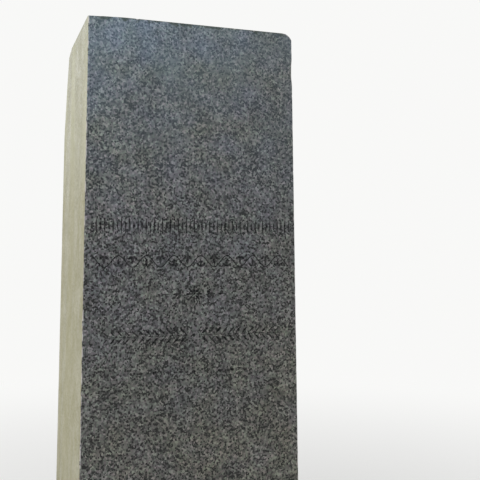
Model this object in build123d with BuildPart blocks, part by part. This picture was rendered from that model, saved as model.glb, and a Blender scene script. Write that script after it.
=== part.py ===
from build123d import *

import os
from math import radians, tan

# A free-standing granite grave monument. A polished pillar, square-cut and drawn
# in a little on all four sides, stands on a hammered plinth and a rock-faced
# footing slab, and each stone is bedded on mortar. Three of the pillar's top
# corners have broken away, a long flake is lost below the back left one, and its
# front right arris has spalled.
#
# +Z is up, the front faces -Y, and the origin is on the ground under the middle
# of the footing slab. Sizes are in millimetres and angles in degrees.

# The pillar
pillar_foot_width = 530
pillar_foot_depth = 490
pillar_height = 1300
pillar_batter = 0.9
pillar_arris_width = 2

# How far each break of its top corners runs along the three edges
front_right_break_along = 24
front_right_break_back = 20
front_right_break_down = 18
front_left_break_along = 66
front_left_break_back = 24
front_left_break_down = 5
back_left_break_along = 70
back_left_break_back = 120
back_left_break_down = 50
break_edge_radius = 3

# The long flake lost from its back left arris, under the broken corner
back_left_flake_along = 45
back_left_flake_back = 85
back_left_flake_down = 212

# The spall in its front right arris
spall_below_top = 90
spall_length = 72
spall_depth = 4.5

# The plinth under the pillar
plinth_reach = 85
plinth_height = 270
weathering_rise = 22
weathering_run = 34
plinth_margin = 28
plinth_field_proud = 3
plinth_field_slope = 45

# The footing slab on the ground
footing_reach = 75
footing_height = 160
footing_arris_width = 6
footing_margin = 16
footing_rock_proud = 14
footing_rock_slope = 50

# The mortar beds between the stones
bed_thickness = 6
bed_set_back = 5

# What follows from the sizes above
draw_in_per_height = tan(radians(pillar_batter))
plinth_width = pillar_foot_width + 2 * plinth_reach
plinth_depth = pillar_foot_depth + 2 * plinth_reach
footing_width = plinth_width + 2 * footing_reach
footing_depth = plinth_depth + 2 * footing_reach
plinth_bed_z = footing_height
plinth_foot_z = plinth_bed_z + bed_thickness
pillar_bed_z = plinth_foot_z + plinth_height
pillar_foot_z = pillar_bed_z + bed_thickness
pillar_top_z = pillar_foot_z + pillar_height

LEFT, RIGHT = -1, 1
FRONT, BACK = -1, 1


def is_upright(face):
    """Whether a flat face of a square block is one of its four sides."""
    return abs(face.normal_at().Z) < 0.01


def pillar_arris_point(side, end, below_top):
    """A point on one of the pillar's upright arrises, before any break.

    Args:
        side: LEFT or RIGHT.
        end: FRONT or BACK.
        below_top: how far the point lies below the pillar's top.
    """
    draw_in = (pillar_height - below_top) * draw_in_per_height
    return Vector(
        side * (pillar_foot_width / 2 - draw_in),
        end * (pillar_foot_depth / 2 - draw_in),
        pillar_top_z - below_top,
    )


def break_plane(side, end, along, back, down):
    """The plane on which a top corner of the pillar split off.

    Args:
        side: LEFT or RIGHT.
        end: FRONT or BACK.
        along: how far the break reaches from the corner along X.
        back: how far it reaches along Y.
        down: how far it reaches down the arris.

    Returns:
        A plane whose normal points out of the stone.
    """
    corner = pillar_arris_point(side, end, 0)
    on_arris = pillar_arris_point(side, end, down)
    on_width = corner - Vector(side * along, 0, 0)
    on_depth = corner - Vector(0, end * back, 0)
    outwards = (on_depth - on_width).cross(on_arris - on_width)
    if outwards.dot(corner - on_width) < 0:
        outwards = -outwards
    return Plane(on_width, x_dir=on_depth - on_width, z_dir=outwards)


# The footing slab, with a rock face inside a drafted margin on each side
with BuildPart() as footing_slab:
    with BuildSketch():
        Rectangle(footing_width, footing_depth)
    extrude(amount=footing_height)
    chamfer(footing_slab.faces().sort_by(Axis.Z)[-1].edges(), length=footing_arris_width)
    for side_face in footing_slab.faces().filter_by(is_upright):
        rock_face = offset(side_face, amount=-footing_margin, kind=Kind.INTERSECTION, mode=Mode.PRIVATE)
        extrude(rock_face, amount=footing_rock_proud, taper=footing_rock_slope)

# The plinth, weathered round its top, with a hammered field on each side
with BuildPart() as plinth:
    with BuildSketch(Plane.XY.offset(plinth_foot_z)):
        Rectangle(plinth_width, plinth_depth)
    extrude(amount=plinth_height)
    plinth_top = plinth.faces().sort_by(Axis.Z)[-1]
    chamfer(plinth_top.edges(), length=weathering_run, length2=weathering_rise, reference=plinth_top)
    for side_face in plinth.faces().filter_by(is_upright):
        hammered_field = offset(side_face, amount=-plinth_margin, kind=Kind.INTERSECTION, mode=Mode.PRIVATE)
        extrude(hammered_field, amount=plinth_field_proud, taper=plinth_field_slope)

# The pillar, drawn in on all four sides, its arrises eased all round above the foot
with BuildPart() as pillar:
    with BuildSketch(Plane.XY.offset(pillar_foot_z)):
        Rectangle(pillar_foot_width, pillar_foot_depth)
    extrude(amount=pillar_height, taper=pillar_batter)
    arrises = pillar.edges().filter_by_position(Axis.Z, pillar_foot_z + pillar_arris_width, pillar_top_z)
    chamfer(arrises, length=pillar_arris_width)

    # The broken corners and the flake, with their edges rounded by the weather
    for break_off in (
        break_plane(RIGHT, FRONT, front_right_break_along, front_right_break_back, front_right_break_down),
        break_plane(LEFT, FRONT, front_left_break_along, front_left_break_back, front_left_break_down),
        break_plane(LEFT, BACK, back_left_break_along, back_left_break_back, back_left_break_down),
        break_plane(LEFT, BACK, back_left_flake_along, back_left_flake_back, back_left_flake_down),
    ):
        split(bisect_by=break_off, keep=Keep.BOTTOM)
        fracture = pillar.faces().filter_by(lambda face: break_off.contains(face.center()))
        fillet(fracture.edges(), radius=break_edge_radius)

    # The spall, a shallow scoop as from a large ball
    spall_radius = (spall_length**2 / 4 + spall_depth**2) / (2 * spall_depth)
    spall_outwards = Vector(RIGHT, FRONT, 0).normalized()
    spall_arris = pillar_arris_point(RIGHT, FRONT, spall_below_top)
    with Locations(spall_arris + spall_outwards * (spall_radius - spall_depth)):
        Sphere(spall_radius, mode=Mode.SUBTRACT)

# The bed under the pillar, pointed back from the stone's edges
with BuildPart() as pillar_bed:
    with BuildSketch(Plane.XY.offset(pillar_bed_z)):
        Rectangle(pillar_foot_width - 2 * bed_set_back, pillar_foot_depth - 2 * bed_set_back)
    extrude(amount=bed_thickness)

# The bed under the plinth, pointed back in the same way
with BuildPart() as plinth_bed:
    with BuildSketch(Plane.XY.offset(plinth_bed_z)):
        Rectangle(plinth_width - 2 * bed_set_back, plinth_depth - 2 * bed_set_back)
    extrude(amount=bed_thickness)

os.makedirs("parts", exist_ok=True)

footing_slab.part.label = "footing_slab"
export_step(footing_slab.part, "parts/footing_slab.step")

plinth_bed.part.label = "plinth_bed"
export_step(plinth_bed.part, "parts/plinth_bed.step")

plinth.part.label = "plinth"
export_step(plinth.part, "parts/plinth.step")

pillar_bed.part.label = "pillar_bed"
export_step(pillar_bed.part, "parts/pillar_bed.step")

pillar.part.label = "pillar"
export_step(pillar.part, "parts/pillar.step")
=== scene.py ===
"""Dresses the pillar tombstone: polished, hammered and rock-faced granite on mortar beds.

Every size is in metres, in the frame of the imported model: +Z up, the front facing -Y.
"""

import logging
import math
from collections.abc import Iterable
from dataclasses import dataclass, field, replace
from enum import Enum
from functools import reduce

import bmesh
import bpy
from mathutils import Matrix, Vector, noise


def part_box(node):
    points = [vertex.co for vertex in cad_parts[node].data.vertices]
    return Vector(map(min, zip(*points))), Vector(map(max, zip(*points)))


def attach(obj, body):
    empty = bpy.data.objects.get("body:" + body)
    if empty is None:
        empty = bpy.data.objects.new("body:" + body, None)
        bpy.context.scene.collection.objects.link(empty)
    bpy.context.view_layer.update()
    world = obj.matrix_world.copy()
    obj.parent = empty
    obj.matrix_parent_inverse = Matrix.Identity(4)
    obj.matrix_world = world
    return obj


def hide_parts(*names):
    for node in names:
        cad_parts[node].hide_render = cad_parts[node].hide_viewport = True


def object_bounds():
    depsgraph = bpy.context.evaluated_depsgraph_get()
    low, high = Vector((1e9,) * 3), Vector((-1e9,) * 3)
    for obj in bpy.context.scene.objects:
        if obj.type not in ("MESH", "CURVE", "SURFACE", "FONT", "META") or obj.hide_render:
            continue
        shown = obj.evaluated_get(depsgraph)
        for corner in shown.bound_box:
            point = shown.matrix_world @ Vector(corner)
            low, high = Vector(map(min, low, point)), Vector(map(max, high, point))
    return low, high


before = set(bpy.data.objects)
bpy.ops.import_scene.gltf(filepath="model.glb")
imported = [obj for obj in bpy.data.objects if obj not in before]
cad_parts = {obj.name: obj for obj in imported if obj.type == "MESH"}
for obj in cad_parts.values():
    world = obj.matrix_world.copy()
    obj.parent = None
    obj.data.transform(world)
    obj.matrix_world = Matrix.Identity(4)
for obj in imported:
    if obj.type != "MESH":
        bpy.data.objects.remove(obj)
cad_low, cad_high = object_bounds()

log = logging.getLogger("tombstone")

BODY = "root"

# One millimetre
MM = 0.001
FULL_TURN = 2 * math.pi

# Soft noise lies between these two values nearly everywhere
SPREAD = (0.3, 0.7)
MID_COLOUR = (0.5, 0.5, 0.5)

Colour = tuple[float, float, float]
Stops = tuple[tuple[float, Colour], ...]
Span = tuple[float, float]
Arris = tuple[Vector, Vector, Vector]
Node = bpy.types.Node
Socket = bpy.types.NodeSocket
Object = bpy.types.Object
Material = bpy.types.Material


def tone(*screen: int) -> Colour:
    """The linear colour of a red, green and blue seen on a screen, from 0 to 255, by the sRGB curve."""
    shares = (value / 255 for value in screen)
    return tuple(share / 12.92 if share <= 0.04045 else ((share + 0.055) / 1.055) ** 2.4 for share in shares)


def grey(value: float) -> Colour:
    """A neutral linear colour."""
    return value, value, value


class Corner(Enum):
    """A corner of a square block, by its side and its end, in order round the block."""

    FRONT_LEFT = (-1, -1)
    FRONT_RIGHT = (1, -1)
    BACK_RIGHT = (1, 1)
    BACK_LEFT = (-1, 1)


class Dressing(Enum):
    """How a surface of the granite was left by the mason, or by the weather."""

    POLISHED = "polished"
    HAMMERED = "hammered"
    ROCK_FACED = "rock_faced"
    BROKEN = "broken"
    CUT = "cut"


class Stroke(Enum):
    """A kind of chisel cut: its length, width and depth, and its start from its point, in millimetres.

    A cut with no start has its middle on its point.
    """

    REED = (36.0, 4.2, 2.1)
    SHORT_REED = (19.8, 4.2, 2.1)
    REED_BEAD = (4.5, 2.6, 1.2)
    LOBE = (20.0, 6.4, 1.8, 1.2)
    SIDE_LOBE = (13.2, 6.4, 1.8, 1.8)
    BERRY = (4.0, 3.0, 1.3)
    PETAL = (17.0, 5.2, 1.8, 3.5)
    SEPAL = (8.0, 2.4, 1.8, 13.0)
    EYE = (5.0, 5.0, 1.5)
    TENDRIL = (20.0, 2.6, 1.3)
    STALK = (12.5, 2.2, 1.2)
    LAUREL = (23.5, 5.4, 1.9, 3.2)
    BUD = (9.0, 7.0, 1.6)
    LOZENGE = (11.0, 6.5, 0.9)
    BEAD = (3.6, 3.2, 0.9)


class NodeTree:
    """A tree of nodes, with short calls for what materials and shapes both use."""

    def __init__(self, tree: bpy.types.NodeTree) -> None:
        """Takes over a tree, and empties it."""
        self.tree = tree
        tree.nodes.clear()

    def add(self, kind: str, given: dict[str | int, object] | None = None, **settings: object) -> Node:
        """Adds a node and fills its inputs.

        Args:
            kind: the node's type.
            given: the value or the source of each input.
            settings: the node's properties.

        Returns:
            The node.
        """
        node = self.tree.nodes.new(kind)
        for name, value in settings.items():
            setattr(node, name, value)
        for name, value in (given or {}).items():
            self.join(value, node.inputs[name])
        return node

    def join(self, source: object, socket: Socket) -> None:
        """Links an output to a socket, or sets the socket where the source is a plain value.

        Args:
            source: the output, the value or the colour.
            socket: the socket that takes it.
        """
        if isinstance(source, Socket):
            self.tree.links.new(source, socket)
        else:
            socket.default_value = (*source, 1.0) if socket.type == "RGBA" else source

    def maths(self, operation: str, *values: object, clamp: bool = False) -> Socket:
        """The result of one sum on numbers."""
        node = self.add("ShaderNodeMath", dict(enumerate(values)), operation=operation, use_clamp=clamp)
        return node.outputs[0]

    def plus(self, *values: object) -> Socket:
        """The numbers added up."""
        return reduce(lambda first, second: self.maths("ADD", first, second), values)

    def minus(self, first: object, second: object) -> Socket:
        """The first number less the second."""
        return self.maths("SUBTRACT", first, second)

    def times(self, *values: object) -> Socket:
        """The numbers' product."""
        return reduce(lambda first, second: self.maths("MULTIPLY", first, second), values)

    def between(self, share: object, first: object, second: object) -> Socket:
        """A number between two others, by its share of the second."""
        return self.add("ShaderNodeMix", {0: share, 2: first, 3: second}, data_type="FLOAT").outputs[0]

    def eased(
        self,
        value: object,
        low: float,
        high: float,
        start: object = 0.0,
        end: object = 1.0,
        kind: str = "SMOOTHSTEP",
    ) -> Socket:
        """A number that goes from start to end, smoothly or by its kind, as another goes from low to high."""
        given = {"Value": value, "From Min": low, "From Max": high, "To Min": start, "To Max": end}
        return self.add("ShaderNodeMapRange", given, interpolation_type=kind).outputs[0]

    def vector(self, operation: str, *values: object) -> Socket:
        """The result of one sum on vectors, the second of them a number where the first is scaled.

        Args:
            operation: the sum.
            values: what it is worked out from.

        Returns:
            The result's socket.
        """
        places = (0, 3) if operation == "SCALE" else (0, 1)
        node = self.add("ShaderNodeVectorMath", dict(zip(places, values)), operation=operation)
        return node.outputs["Value" if operation in ("DOT_PRODUCT", "LENGTH") else "Vector"]

    def parts(self, vector: Socket) -> list[Socket]:
        """A vector's x, y and z."""
        return list(self.add("ShaderNodeSeparateXYZ", {"Vector": vector}).outputs)

    def noise(self, where: Socket, scale: object, detail: float, roughness: float = 0.5) -> Node:
        """Soft noise, with so many patches to a metre."""
        given = {"Vector": where, "Scale": scale, "Detail": detail, "Roughness": roughness}
        return self.add("ShaderNodeTexNoise", given)

    def cells(self, where: Socket, scale: object) -> Node:
        """Cells with random values of their own, so many to a metre."""
        return self.add("ShaderNodeTexVoronoi", {"Vector": where, "Scale": scale}, feature="F1")

    def warped(self, where: Socket, scale: object, push: object, detail: float = 1.0) -> Socket:
        """A place pushed about by noise, over a range of the given width, so that edges there are uneven."""
        centred = self.vector("SUBTRACT", self.noise(where, scale, detail).outputs["Color"], MID_COLOUR)
        return self.vector("ADD", where, self.vector("SCALE", centred, push))

    def backed(self, lit: Socket, backdrop: Socket, share: object = 1.0) -> Socket:
        """A shader that the camera and reflections see as the backdrop.

        Args:
            lit: the shader that gives and takes light.
            backdrop: the one that is seen.
            share: how much of it is seen.

        Returns:
            The mixed shader.
        """
        ray = self.add("ShaderNodeLightPath").outputs
        seen = self.maths("ADD", ray["Is Camera Ray"], ray["Is Glossy Ray"], clamp=True)
        return self.add("ShaderNodeMixShader", {0: self.times(share, seen), 1: lit, 2: backdrop}).outputs[0]


class ShaderTree(NodeTree):
    """A material's nodes, round one main shader."""

    def __init__(self, name: str) -> None:
        """Starts a material.

        Args:
            name: the material's name.
        """
        self.material = bpy.data.materials.new(name)
        self.material.use_nodes = True
        super().__init__(self.material.node_tree)
        self.shader = self.add("ShaderNodeBsdfPrincipled")
        self.output = self.add("ShaderNodeOutputMaterial", {"Surface": self.shader.outputs[0]})
        self.place = self.add("ShaderNodeTexCoord").outputs["Object"]

    def finished(self, given: dict[str, object]) -> Material:
        """Fills the main shader's inputs.

        Args:
            given: the value or the source of each input.

        Returns:
            The finished material.
        """
        for name, value in given.items():
            self.join(value, self.shader.inputs[name])
        return self.material

    def moved(self, shift: tuple[float, ...], stretch: tuple[float, ...] = (1, 1, 1)) -> Socket:
        """The place on the stone, moved and stretched, so that a pattern there is another one."""
        given = {"Vector": self.place, "Location": shift, "Scale": stretch}
        return self.add("ShaderNodeMapping", given).outputs[0]

    def attribute(self, name: str) -> Socket:
        """A number that the mesh holds for each of its points."""
        return self.add("ShaderNodeAttribute", attribute_name=name).outputs["Fac"]

    def patches(self, where: Socket, size: float, detail: float, roughness: float = 0.5) -> Socket:
        """Soft noise from 0 to 1, in patches of the given size."""
        return self.noise(where, 1 / size, detail, roughness).outputs["Fac"]

    def ragged(self, where: Socket, size: float, reach: float) -> Socket:
        """A place pushed about by noise in patches of the given size, by up to a reach."""
        return self.warped(where, 1 / size, 2 * reach)

    def crystals(self, where: Socket, size: float) -> tuple[Socket, Socket, Socket]:
        """Cells of about one size.

        Args:
            where: the place that they are read at.
            size: the distance from cell to cell.

        Returns:
            The cell's random value, the distance from its middle in cell sizes, and a second random value.
        """
        cells = self.cells(where, 1 / size).outputs
        values = self.add("ShaderNodeSeparateColor", {"Color": cells["Color"]}).outputs
        return values["Red"], cells["Distance"], values["Green"]

    def blend(self, share: object, below: object, above: object, mode: str = "MIX") -> Socket:
        """Two colours mixed, by the share of the upper one that shows."""
        given = {0: share, 6: below, 7: above}
        return self.add("ShaderNodeMix", given, data_type="RGBA", blend_type=mode).outputs[2]

    def ramp(self, value: Socket, stops: Iterable[tuple[float, Colour]]) -> Socket:
        """A colour read from a row of stops.

        Args:
            value: where in the row, from 0 to 1.
            stops: each stop's place and colour.

        Returns:
            The colour's socket.
        """
        node = self.add("ShaderNodeValToRGB", {"Fac": value})
        elements = node.color_ramp.elements
        for index, (place, colour) in enumerate(stops):
            element = elements[index] if index < len(elements) else elements.new(place)
            element.position = place
            element.color = (*colour, 1.0)
        return node.outputs["Color"]

    def bumped(self, height: Socket, depth: float, onto: dict[str, Socket] | None = None) -> Socket:
        """A normal turned by a fine relief, which may lie on a coarser one's normal."""
        given = {"Height": height, "Distance": depth, **(onto or {})}
        return self.add("ShaderNodeBump", given).outputs["Normal"]


@dataclass(frozen=True)
class Weathering:
    """What years outdoors have laid on the stone, with painted light among it: a painted sky reflection, a
    painted reflection lightening the left side and painted highlights on the arrises.
    """

    # The film is grime with painted sky reflection in it, lighter and bluer higher up and further left
    film_with_painted_light: Stops = ()
    grime_and_painted_light_wander: float = 0.16
    grime_and_painted_light_lean: float = 0.55
    # A painted reflection of the sky: a pale bluish colour laid on the upper part of the front, thinner
    # elsewhere
    painted_sky_reflection: Colour = (0.112, 0.146, 0.174)
    painted_sky_reflection_rises: Span = (1.18, 1.78)
    painted_sky_reflection_share: float = 0.0
    bluish: Colour = (0.968, 0.975, 1.068)
    olive: Colour = (1.02, 1.035, 0.94)
    streak_width: float = 35 * MM
    streak_length: float = 450 * MM
    # Algae on the left side, in a pale colour that is partly painted reflection lightening that side
    algae_and_painted_reflection: Colour = tone(146, 142, 116)
    dry_algae_and_painted_reflection: Colour = tone(198, 200, 176)
    algae_and_painted_reflection_share: float = 0.0
    algae_and_painted_reflection_thins: Span = (1.20, 1.65)
    algae_matt: Span = (0.50, 0.27)
    top_dust: Span = (0.25, 0.68)
    # Pale rubbed arrises: partly wear, partly a painted highlight along them
    arris_wear_and_painted_highlight: float = 0.0
    worn_arris_and_painted_highlight: Colour = tone(194, 189, 188)
    crown: float = 0.0
    crown_moss: Colour = tone(48, 60, 52)
    crown_reach: float = 10 * MM
    lichen: Colour = tone(168, 170, 150)
    lichen_size: float = 38 * MM
    lichen_share: float = 0.0
    soil: Colour = tone(84, 76, 62)
    soil_share: float = 0.0
    soil_reach: float = 0.16


# The film of grime on the pillar, by height above the ground, with painted sky reflection in it that makes it
# lighter and bluer towards the top
PILLAR_FILM_WITH_PAINTED_LIGHT: Stops = (
    (0.64, (0.70, 0.69, 0.63)),
    (0.76, (0.76, 0.75, 0.69)),
    (0.93, (0.667, 0.674, 0.652)),
    (1.08, (0.707, 0.717, 0.722)),
    (1.25, (0.714, 0.734, 0.766)),
    (1.45, (0.853, 0.863, 0.877)),
    (1.63, (0.935, 0.975, 0.985)),
    (1.83, (1.17, 1.30, 1.44)),
)


@dataclass(frozen=True)
class GraniteFinish:
    """A grey granite, the same stone all through, with one dressing of its surface."""

    dressing: Dressing
    crystal_size: float = 4.3 * MM
    flake_size: float = 4.0 * MM
    flake_share: float = 0.35
    flake_edge: Span = (0.56, 0.70)
    crowding_size: float = 24 * MM
    crowding: Span = (0.62, 1.38)
    rift: float = 0.88
    minerals: Stops = (
        (0.0, (0.034, 0.036, 0.038)),
        (0.3, (0.092, 0.093, 0.093)),
        (0.75, (0.156, 0.157, 0.154)),
        (1.0, (0.250, 0.250, 0.243)),
    )
    rosy: Colour = (1.075, 0.955, 1.03)
    greenish: Colour = (0.935, 1.04, 0.955)
    mica: Colour = (0.007, 0.008, 0.009)
    mica_dullness: float = 0.08
    brightness: float = 1.0
    tint: Colour = (1.0, 1.0, 1.0)
    bleach: float = 0.0
    bleached: Colour = grey(0.150)
    roughness: Span = (0.14, 0.30)
    gloss: float = 0.30
    dust: float = 0.0
    dust_spread: float = 0.4
    dust_tone: Colour = tone(222, 214, 158)
    top_wear: float = 0.0
    relief_size: float = 3 * MM
    relief_depth: float = 0.04 * MM
    relief_detail: Span = (3.0, 0.6)
    pit_size: float = 5 * MM
    pit_depth: float = 0.0
    line_pitch: float = 5 * MM
    line_depth: float = 0.35 * MM
    hollow_darkening: float = 0.45
    weathering: Weathering = Weathering()

    def material(self) -> Material:
        """The finished material."""
        return StoneSurface(self).weathered()


class StoneSurface(ShaderTree):
    """A granite's nodes: the clean stone, and then each layer that the years have laid on it, some of them
    with painted light.
    """

    def __init__(self, finish: GraniteFinish) -> None:
        """Starts the material of a finish.

        Args:
            finish: the finish.
        """
        super().__init__(f"granite_{finish.dressing.value}")
        self.finish = finish
        self.weather = finish.weathering
        self.x, _, self.height = self.parts(self.place)
        normal = self.add("ShaderNodeNewGeometry").outputs["Normal"]
        self.facing_x, self.facing_y, self.facing_z = self.parts(normal)
        self.wander = self.minus(self.patches(self.place, 0.25, 3.0), 0.5)
        self.dulled: Socket | float = 0.0

    def lay(self, share: object, colour: object, mode: str = "MIX") -> None:
        """Lays a colour over what is there."""
        self.colour = self.blend(share, self.colour, colour, mode)

    def vary(self, where: Socket, size: float, darker: Colour, lighter: Colour) -> None:
        """Tints what is there in soft patches."""
        low, high = SPREAD
        self.lay(1.0, self.ramp(self.patches(where, size, 3.0), ((low, darker), (high, lighter))), "MULTIPLY")

    def clean_stone(self) -> None:
        """Draws grey quartz and feldspar, sprinkled with flakes of black mica."""
        finish = self.finish
        size = finish.crystal_size
        here = self.moved((0.0, 0.0, 0.0), (1, 1, finish.rift))
        kind, _, cast = self.crystals(self.ragged(here, 0.55 * size, 0.26 * size), size)
        self.colour = self.ramp(kind, finish.minerals)
        self.lay(1.0, self.ramp(cast, ((0.0, finish.rosy), (1.0, finish.greenish))), "MULTIPLY")

        size = finish.flake_size
        elsewhere = self.moved((3.1, 1.7, 5.3), (1, 1, finish.rift))
        flake, distance, _ = self.crystals(self.ragged(elsewhere, 0.55 * size, 0.36 * size), size)
        few, many = (share * finish.flake_share for share in finish.crowding)
        limit = self.eased(self.patches(elsewhere, finish.crowding_size, 1.0), *SPREAD, few, many)
        whole = self.eased(distance, *finish.flake_edge, 1.0, 0.0)
        self.mica = self.times(self.maths("LESS_THAN", flake, limit), whole)
        self.lay(self.mica, finish.mica)
        self.vary(self.place, 1.6 * MM, grey(0.86), grey(1.14))
        self.lay(finish.bleach, finish.bleached)
        self.lay(1.0, tuple(finish.brightness * value for value in finish.tint), "MULTIPLY")

    def painted_sky_reflection(self, drift: Socket) -> None:
        """Paints a pale bluish reflection of the sky on the upper part of the front, and a thinner one on the
        right and the back.

        Args:
            drift: the height above the ground, wandering a little.
        """
        weather = self.weather
        rise = self.eased(drift, *weather.painted_sky_reflection_rises, 0.0, weather.painted_sky_reflection_share)
        front = self.eased(self.facing_y, -0.9, -0.5, 1.0, 0.55)
        not_left = self.eased(self.facing_x, -0.9, -0.5)
        clouds = self.eased(self.patches(self.place, 80 * MM, 3.0), *SPREAD, 0.8, 1.2)
        self.lay(self.times(rise, front, not_left, clouds), weather.painted_sky_reflection)

    def film_with_painted_light(self) -> None:
        """Lays the film of grime and bleaching that changes with the height above the ground, with painted
        sky reflection in it that makes it lighter and bluer towards the top and towards the left.
        """
        weather = self.weather
        drift = self.plus(self.height, self.times(self.wander, 2 * weather.grime_and_painted_light_wander))
        if weather.painted_sky_reflection_share:
            self.painted_sky_reflection(drift)
        if weather.film_with_painted_light:
            level = self.minus(drift, self.times(self.x, weather.grime_and_painted_light_lean))
            low, high = weather.film_with_painted_light[0][0], weather.film_with_painted_light[-1][0]
            stops = [((height - low) / (high - low), colour) for height, colour in weather.film_with_painted_light]
            self.lay(1.0, self.ramp(self.eased(level, low, high, kind="LINEAR"), stops), "MULTIPLY")

    def stains(self) -> None:
        """Tints the stone in bluish and olive patches, in lighter clouds and in the runs of the rain."""
        weather = self.weather
        self.vary(self.moved((7.7, 2.2, 4.1)), 60 * MM, weather.bluish, weather.olive)
        self.vary(self.place, 75 * MM, grey(0.88), grey(1.12))
        self.streaks = self.moved((0.4, 0.9, 0.0), (1, 1, weather.streak_width / weather.streak_length))
        self.vary(self.streaks, weather.streak_width, grey(0.95), grey(1.05))

    def algae_and_painted_reflection(self) -> None:
        """Grows a matt film of algae in runs down the left side, drier and thinner towards the top. Its pale
        colour is also painted reflection, which lightens the left side, most of all towards the top.
        """
        weather = self.weather
        runs = self.patches(self.streaks, 2.5 * weather.streak_width, 3.0)
        cover = self.eased(runs, *SPREAD, 0.35 * weather.algae_and_painted_reflection_share, 1.65 * weather.algae_and_painted_reflection_share)
        film_with_painted_light = self.times(self.eased(self.facing_x, -0.5, -0.9), cover)
        dry = self.eased(self.height, *weather.algae_and_painted_reflection_thins)
        self.lay(film_with_painted_light, self.blend(dry, weather.algae_and_painted_reflection, weather.dry_algae_and_painted_reflection))
        self.dulled = self.times(film_with_painted_light, self.eased(self.height, *weather.algae_and_painted_reflection_thins, *weather.algae_matt))

    def top_dust(self) -> None:
        """Blows blotches of dust onto what faces up."""
        blotches = self.patches(self.place, 110 * MM, 5.0, 0.6)
        up = self.eased(self.facing_z, 0.6, 0.9)
        self.lay(self.times(up, self.eased(blotches, 0.38, 0.66, *self.weather.top_dust)), self.weather.soil)

    def worn_arrises_and_painted_highlight(self) -> None:
        """Rubs the upright arrises pale, here and there: partly wear, partly a painted highlight along them.
        """
        corner = self.maths("ABSOLUTE", self.times(self.facing_x, self.facing_y))
        rubbed = self.patches(self.moved((2.6, 8.4, 1.9), (1, 1, 0.4)), 9 * MM, 4.0)
        worn = self.eased(rubbed, 0.44, 0.64, 0.0, self.weather.arris_wear_and_painted_highlight)
        self.lay(self.times(self.eased(corner, 0.1, 0.3), worn), self.weather.worn_arris_and_painted_highlight)

    def crown_moss(self) -> None:
        """Grows dark moss over the edge of the top."""
        reach = self.eased(self.patches(self.place, 16 * MM, 3.0), 0.35, 0.7, 0.0, self.weather.crown_reach)
        above = self.minus(self.height, self.minus(self.weather.crown, reach))
        moss = self.eased(above, -2 * MM, 2 * MM, 0.0, 0.7)
        self.lay(self.times(moss, self.eased(self.facing_z, 0.8, 0.95, 1.0, 0.15)), self.weather.crown_moss)

    def lichen(self) -> None:
        """Spots the stone with pale lichen, most of it on what faces up."""
        spots, _, _ = self.crystals(self.ragged(self.place, 12 * MM, 5 * MM), self.weather.lichen_size)
        grows = self.maths("LESS_THAN", spots, self.weather.lichen_share)
        ragged = self.eased(self.patches(self.place, 9 * MM, 4.0), 0.48, 0.60)
        up = self.eased(self.facing_z, -0.2, 0.6, 0.25, 0.8)
        self.lay(self.times(grows, ragged, up), self.weather.lichen)

    def soil(self) -> None:
        """Splashes soil up from the ground."""
        weather = self.weather
        splash = self.plus(self.height, self.times(self.wander, -0.2))
        self.lay(self.eased(splash, 0.0, weather.soil_reach, weather.soil_share, 0.0), weather.soil)

    def roughness(self) -> Socket:
        """How dull the surface is.

        Returns:
            The roughness, with what the mica, the wear of the top and the algae add.
        """
        dullness = self.patches(self.place, 60 * MM, 4.0, 0.6)
        polish = self.eased(dullness, *SPREAD, *self.finish.roughness)
        worn = self.eased(self.facing_z, 0.5, 0.9, 0.0, self.finish.top_wear)
        return self.plus(polish, self.times(self.mica, self.finish.mica_dullness), worn, self.dulled)

    def tool_marks(self) -> Socket:
        """The chisel's lines on the margins, and the pits of the field inside them.

        Returns:
            Their normal.
        """
        finish, size = self.finish, self.finish.pit_size
        _, pit, _ = self.crystals(self.ragged(self.place, size, 0.3 * size), size)
        bands = {"Vector": self.ragged(self.place, 20 * MM, 1 * MM), "Scale": 0.314 / finish.line_pitch}
        wave = self.add("ShaderNodeTexWave", bands, wave_type="BANDS", bands_direction="DIAGONAL")
        lines = self.times(wave.outputs["Fac"], finish.line_depth / finish.pit_depth)
        return self.bumped(self.between(self.attribute("field"), lines, pit), finish.pit_depth)

    def weathered(self) -> Material:
        """Lays every layer in its turn.

        Returns:
            The finished material.
        """
        finish, weather = self.finish, self.weather
        self.clean_stone()
        onto = {}
        if finish.pit_depth:
            # Darker in the hollows of the relief, the deeper the darker, in the soil colour
            self.lay(self.eased(self.attribute("hollow"), 0.35, 0.95, 0.0, finish.hollow_darkening), weather.soil)
            onto["Normal"] = self.tool_marks()
        self.film_with_painted_light()
        self.stains()
        if weather.algae_and_painted_reflection_share:
            self.algae_and_painted_reflection()
            self.top_dust()
        if weather.arris_wear_and_painted_highlight:
            self.worn_arrises_and_painted_highlight()
        if weather.crown:
            self.crown_moss()
        if weather.lichen_share:
            self.lichen()
        if weather.soil_share:
            self.soil()
        grain = self.patches(self.place, finish.relief_size, *finish.relief_detail)
        return self.finished({
            "Base Color": self.colour,
            "Roughness": self.roughness(),
            "Specular IOR Level": finish.gloss,
            "Sheen Weight": finish.dust,
            "Sheen Roughness": finish.dust_spread,
            "Sheen Tint": finish.dust_tone,
            "Normal": self.bumped(grain, finish.relief_depth, onto),
        })


BROKEN = GraniteFinish(
    Dressing.BROKEN,
    brightness=1.45,
    bleach=0.35,
    roughness=(0.6, 0.8),
    relief_size=2.5 * MM,
    relief_depth=0.8 * MM,
)


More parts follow.
